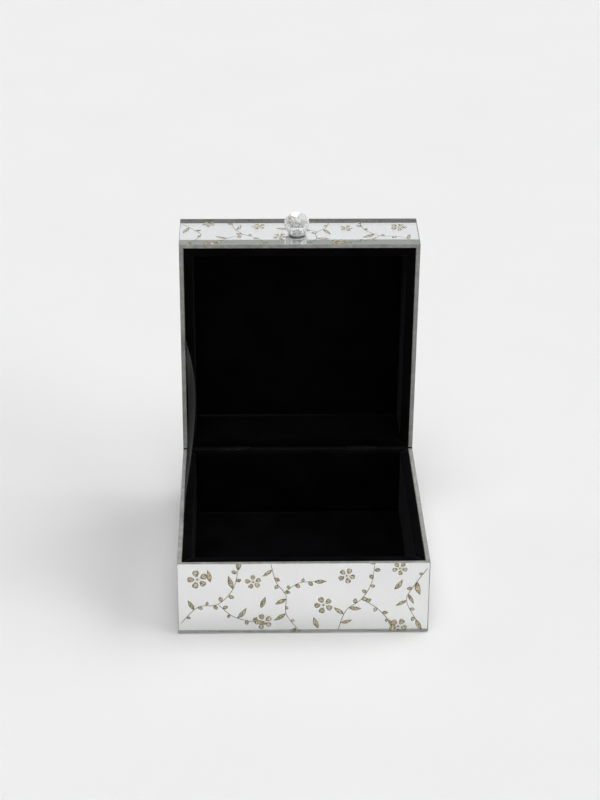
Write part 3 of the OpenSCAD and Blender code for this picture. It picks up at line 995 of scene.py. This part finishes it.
def ribbon_line(foot, foot_out, foot_across, head, head_out, head_across):
    """The band's middle line and the way across it at each of its points, from slot to slot."""
    bow, lean = 4.6 * MM, 1.45          # how far it bows in, and a power that moves the bow up from half-way
    turn, ripple = math.radians(29), 0.05
    tuck, tuck_steps, steps = 6.8 * MM, 3, 56
    ease = 9 * MM                       # length over which it turns out of a slot
    span = head - foot
    level = INWARD.cross(span.normalized())
    foot_across = along_level(foot_across, level)
    head_across = along_level(head_across, level)
    centre = [foot - foot_out * tuck * k / tuck_steps for k in range(tuck_steps, 0, -1)]
    across = [foot_across] * tuck_steps
    for i in range(steps + 1):
        t = i / steps
        arch = max(0.0, math.sin(math.pi * t ** lean))
        centre.append(foot + span * t + INWARD * bow * arch)
        theta = turn * arch ** 0.75 + ripple * arch * math.sin(9 * t)
        free = level * math.cos(theta) + INWARD * math.sin(theta)
        near_foot = smooth_step(max(0.0, 1 - t * span.length / ease))
        near_head = smooth_step(max(0.0, 1 - (1 - t) * span.length / ease))
        mixed = free * (1 - near_foot - near_head) + foot_across * near_foot + head_across * near_head
        across.append(mixed.normalized())
    centre += [head - head_out * tuck * k / tuck_steps for k in range(1, tuck_steps + 1)]
    across += [head_across] * tuck_steps
    return centre, across


def make_ribbon():
    """A satin band from slot to slot. It hangs a little slack, bowed and turned towards the inside."""
    foot, foot_out, foot_across = slot_mouth("base")
    head, head_out, head_across = slot_mouth("lid")
    centre, across = ribbon_line(foot, foot_out, foot_across, head, head_out, head_across)
    columns = [-0.5, -0.47, -0.44, -0.3, -0.1, 0.1, 0.3, 0.44, 0.47, 0.5]
    hem_from = 0.455   # shares of the width, from the middle
    narrower = 0.98    # the band's own width, as a share of the nominal one
    bm = bmesh.new()
    rings = []
    for i, (p, a) in enumerate(zip(centre, across)):
        before, after = centre[max(i - 1, 0)], centre[min(i + 1, len(centre) - 1)]
        normal = (after - before).cross(a).normalized()
        if normal.dot(INWARD) < 0:
            normal = -normal
        is_free = 3 < i < len(centre) - 4
        front, back = [], []
        for c in columns:
            half = 0.5 if abs(c) > hem_from else 0.36
            curl = 0.35 * MM * (1 - 4 * c * c) * (1 if is_free else 0)
            q = p + a * RIBBON_W * narrower * c + normal * curl
            front.append(bm.verts.new(q + normal * RIBBON_T * half))
            back.append(bm.verts.new(q - normal * RIBBON_T * half))
        rings.append(front + back[::-1])
    skin(bm, rings)
    bmesh.ops.recalc_face_normals(bm, faces=bm.faces)
    obj = loose_piece("ribbon_stay_satin", bm, SATIN)
    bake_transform(obj)
    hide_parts("ribbon_stay")


make_ribbon()


# ---------------------------------------------------------------- floor, light and camera

FLOOR_REACH = 4       # from the middle to an edge
FLOOR_DROP = 0.0002   # keeps the floor clear of the felt


def make_floor():
    """A level, pale studio floor, very slightly uneven in tone."""
    bm = bmesh.new()
    bmesh.ops.create_grid(bm, x_segments=1, y_segments=1, size=FLOOR_REACH)
    mesh = bpy.data.meshes.new("floor")
    bm.to_mesh(mesh)
    bm.free()
    mat, tree, shader = material("studio_floor", Roughness=0.95, Specular_IOR_Level=0.1)
    grain = texture(tree, "ShaderNodeTexNoise", 8, 2)
    tree.links.new(
        ramp(tree, grain.outputs["Fac"], [(0.3, (0.815, 0.815, 0.815)), (0.7, (0.825, 0.825, 0.825))]),
        shader.inputs["Base Color"],
    )
    mesh.materials.append(mat)
    obj = bpy.data.objects.new("floor", mesh)
    obj.location.z = -FLOOR_DROP
    bpy.context.scene.collection.objects.link(obj)


WALL_TOP = 0.5503   # rise over run to the top of the studio's pale back wall
AROUND = 0.8        # the run is the run to the back, or this share of the level run where that is more


def make_surround():
    """What the glass and metal reflect: a pale wall, a dim gap above it and a broad ceiling light."""
    world = bpy.data.worlds.new("surround")
    bpy.context.scene.world = world
    world.use_nodes = True
    world.cycles_visibility.diffuse = False
    tree = world.node_tree

    def math_node(operation, first, second=None):
        node = tree.nodes.new("ShaderNodeMath")
        node.operation = operation
        for socket, value in zip(node.inputs, (first, second)):
            if isinstance(value, float):
                socket.default_value = value
            elif value is not None:
                tree.links.new(value, socket)
        return node.outputs[0]

    coordinates = tree.nodes.new("ShaderNodeTexCoord")
    split = tree.nodes.new("ShaderNodeSeparateXYZ")
    tree.links.new(coordinates.outputs["Generated"], split.inputs["Vector"])
    level = math_node("SQRT", math_node("SUBTRACT", 1.0, math_node("POWER", split.outputs["Z"], 2.0)))
    reach = math_node("MAXIMUM", split.outputs["Y"], math_node("MULTIPLY", level, AROUND))
    slope = math_node("DIVIDE", split.outputs["Z"], reach)
    above = math_node("GREATER_THAN", slope, WALL_TOP)
    half = math_node("MULTIPLY", slope, 0.5)
    ceiling = ramp(
        tree, half, [(0.3, (0.4, 0.425, 0.41)), (0.42, (0.47, 0.49, 0.48)), (0.55, (0.86, 0.87, 0.88))]
    )
    wall = ramp(tree, half, [(0.0, (0.88, 0.885, 0.89)), (0.25, (0.9, 0.91, 0.925))])
    mix = tree.nodes.new("ShaderNodeMixRGB")
    tree.links.new(above, mix.inputs["Fac"])
    tree.links.new(wall, mix.inputs["Color1"])
    tree.links.new(ceiling, mix.inputs["Color2"])
    background = tree.nodes["Background"]
    tree.links.new(mix.outputs["Color"], background.inputs["Color"])
    background.inputs["Strength"].default_value = 1.0


LAMP_SPREAD = math.radians(30)
LOW_LAMP = 50   # degrees; a lamp up to this high is hidden from rays through glass


def make_light(name, azimuth, elevation, energy):
    """A distant soft light; azimuth 0 is the right-hand side and 90 the back.

    Lamps are hidden from reflections. A mirror behind glass still sees them through the glass, so the low
    ones are hidden there too, or their discs would show in the panels.
    """
    light = bpy.data.lights.new(name, "SUN")
    light.energy = energy
    light.angle = LAMP_SPREAD
    obj = bpy.data.objects.new(name, light)
    a, e = math.radians(azimuth), math.radians(elevation)
    towards = Vector((math.cos(e) * math.cos(a), math.cos(e) * math.sin(a), math.sin(e)))
    obj.rotation_euler = towards.to_track_quat("Z", "Y").to_euler()
    obj.visible_glossy = False
    obj.visible_transmission = elevation > LOW_LAMP
    bpy.context.scene.collection.objects.link(obj)


def make_camera():
    """In front of the box and above it, looking down and very slightly to the right."""
    data = bpy.data.cameras.new("camera")
    data.lens = 92.24
    data.sensor_width = 36
    data.clip_start = 0.01
    obj = bpy.data.objects.new("camera", data)
    yaw, pitch, roll = (math.radians(a) for a in (1.62, 26.09, 0.45))
    forward = Vector((math.sin(yaw) * math.cos(pitch), math.cos(yaw) * math.cos(pitch), -math.sin(pitch)))
    right = Vector((math.cos(yaw), -math.sin(yaw), 0))
    up = right.cross(forward)
    x = right * math.cos(roll) + up * math.sin(roll)
    y = up * math.cos(roll) - right * math.sin(roll)
    turn = Matrix((x, y, -forward)).transposed().to_4x4()
    place = (-0.0326, -1.117, 0.667)
    obj.matrix_world = Matrix.Translation(place) @ turn
    bpy.context.scene.collection.objects.link(obj)
    bpy.context.scene.camera = obj


make_floor()
make_surround()
make_light("key", 0, 38, 0.75)
make_light("low_key", -30, 20, 1.0)
make_light("back_key", 30, 38, 0.55)
make_light("overhead_left", 240, 74, 0.85)
make_light("overhead_right", 60, 74, 0.6)
make_light("front_fill", 270, 56, 0.75)
make_light("back_fill", 150, 38, 0.2)
make_camera()
bpy.context.scene.view_settings.view_transform = "Standard"
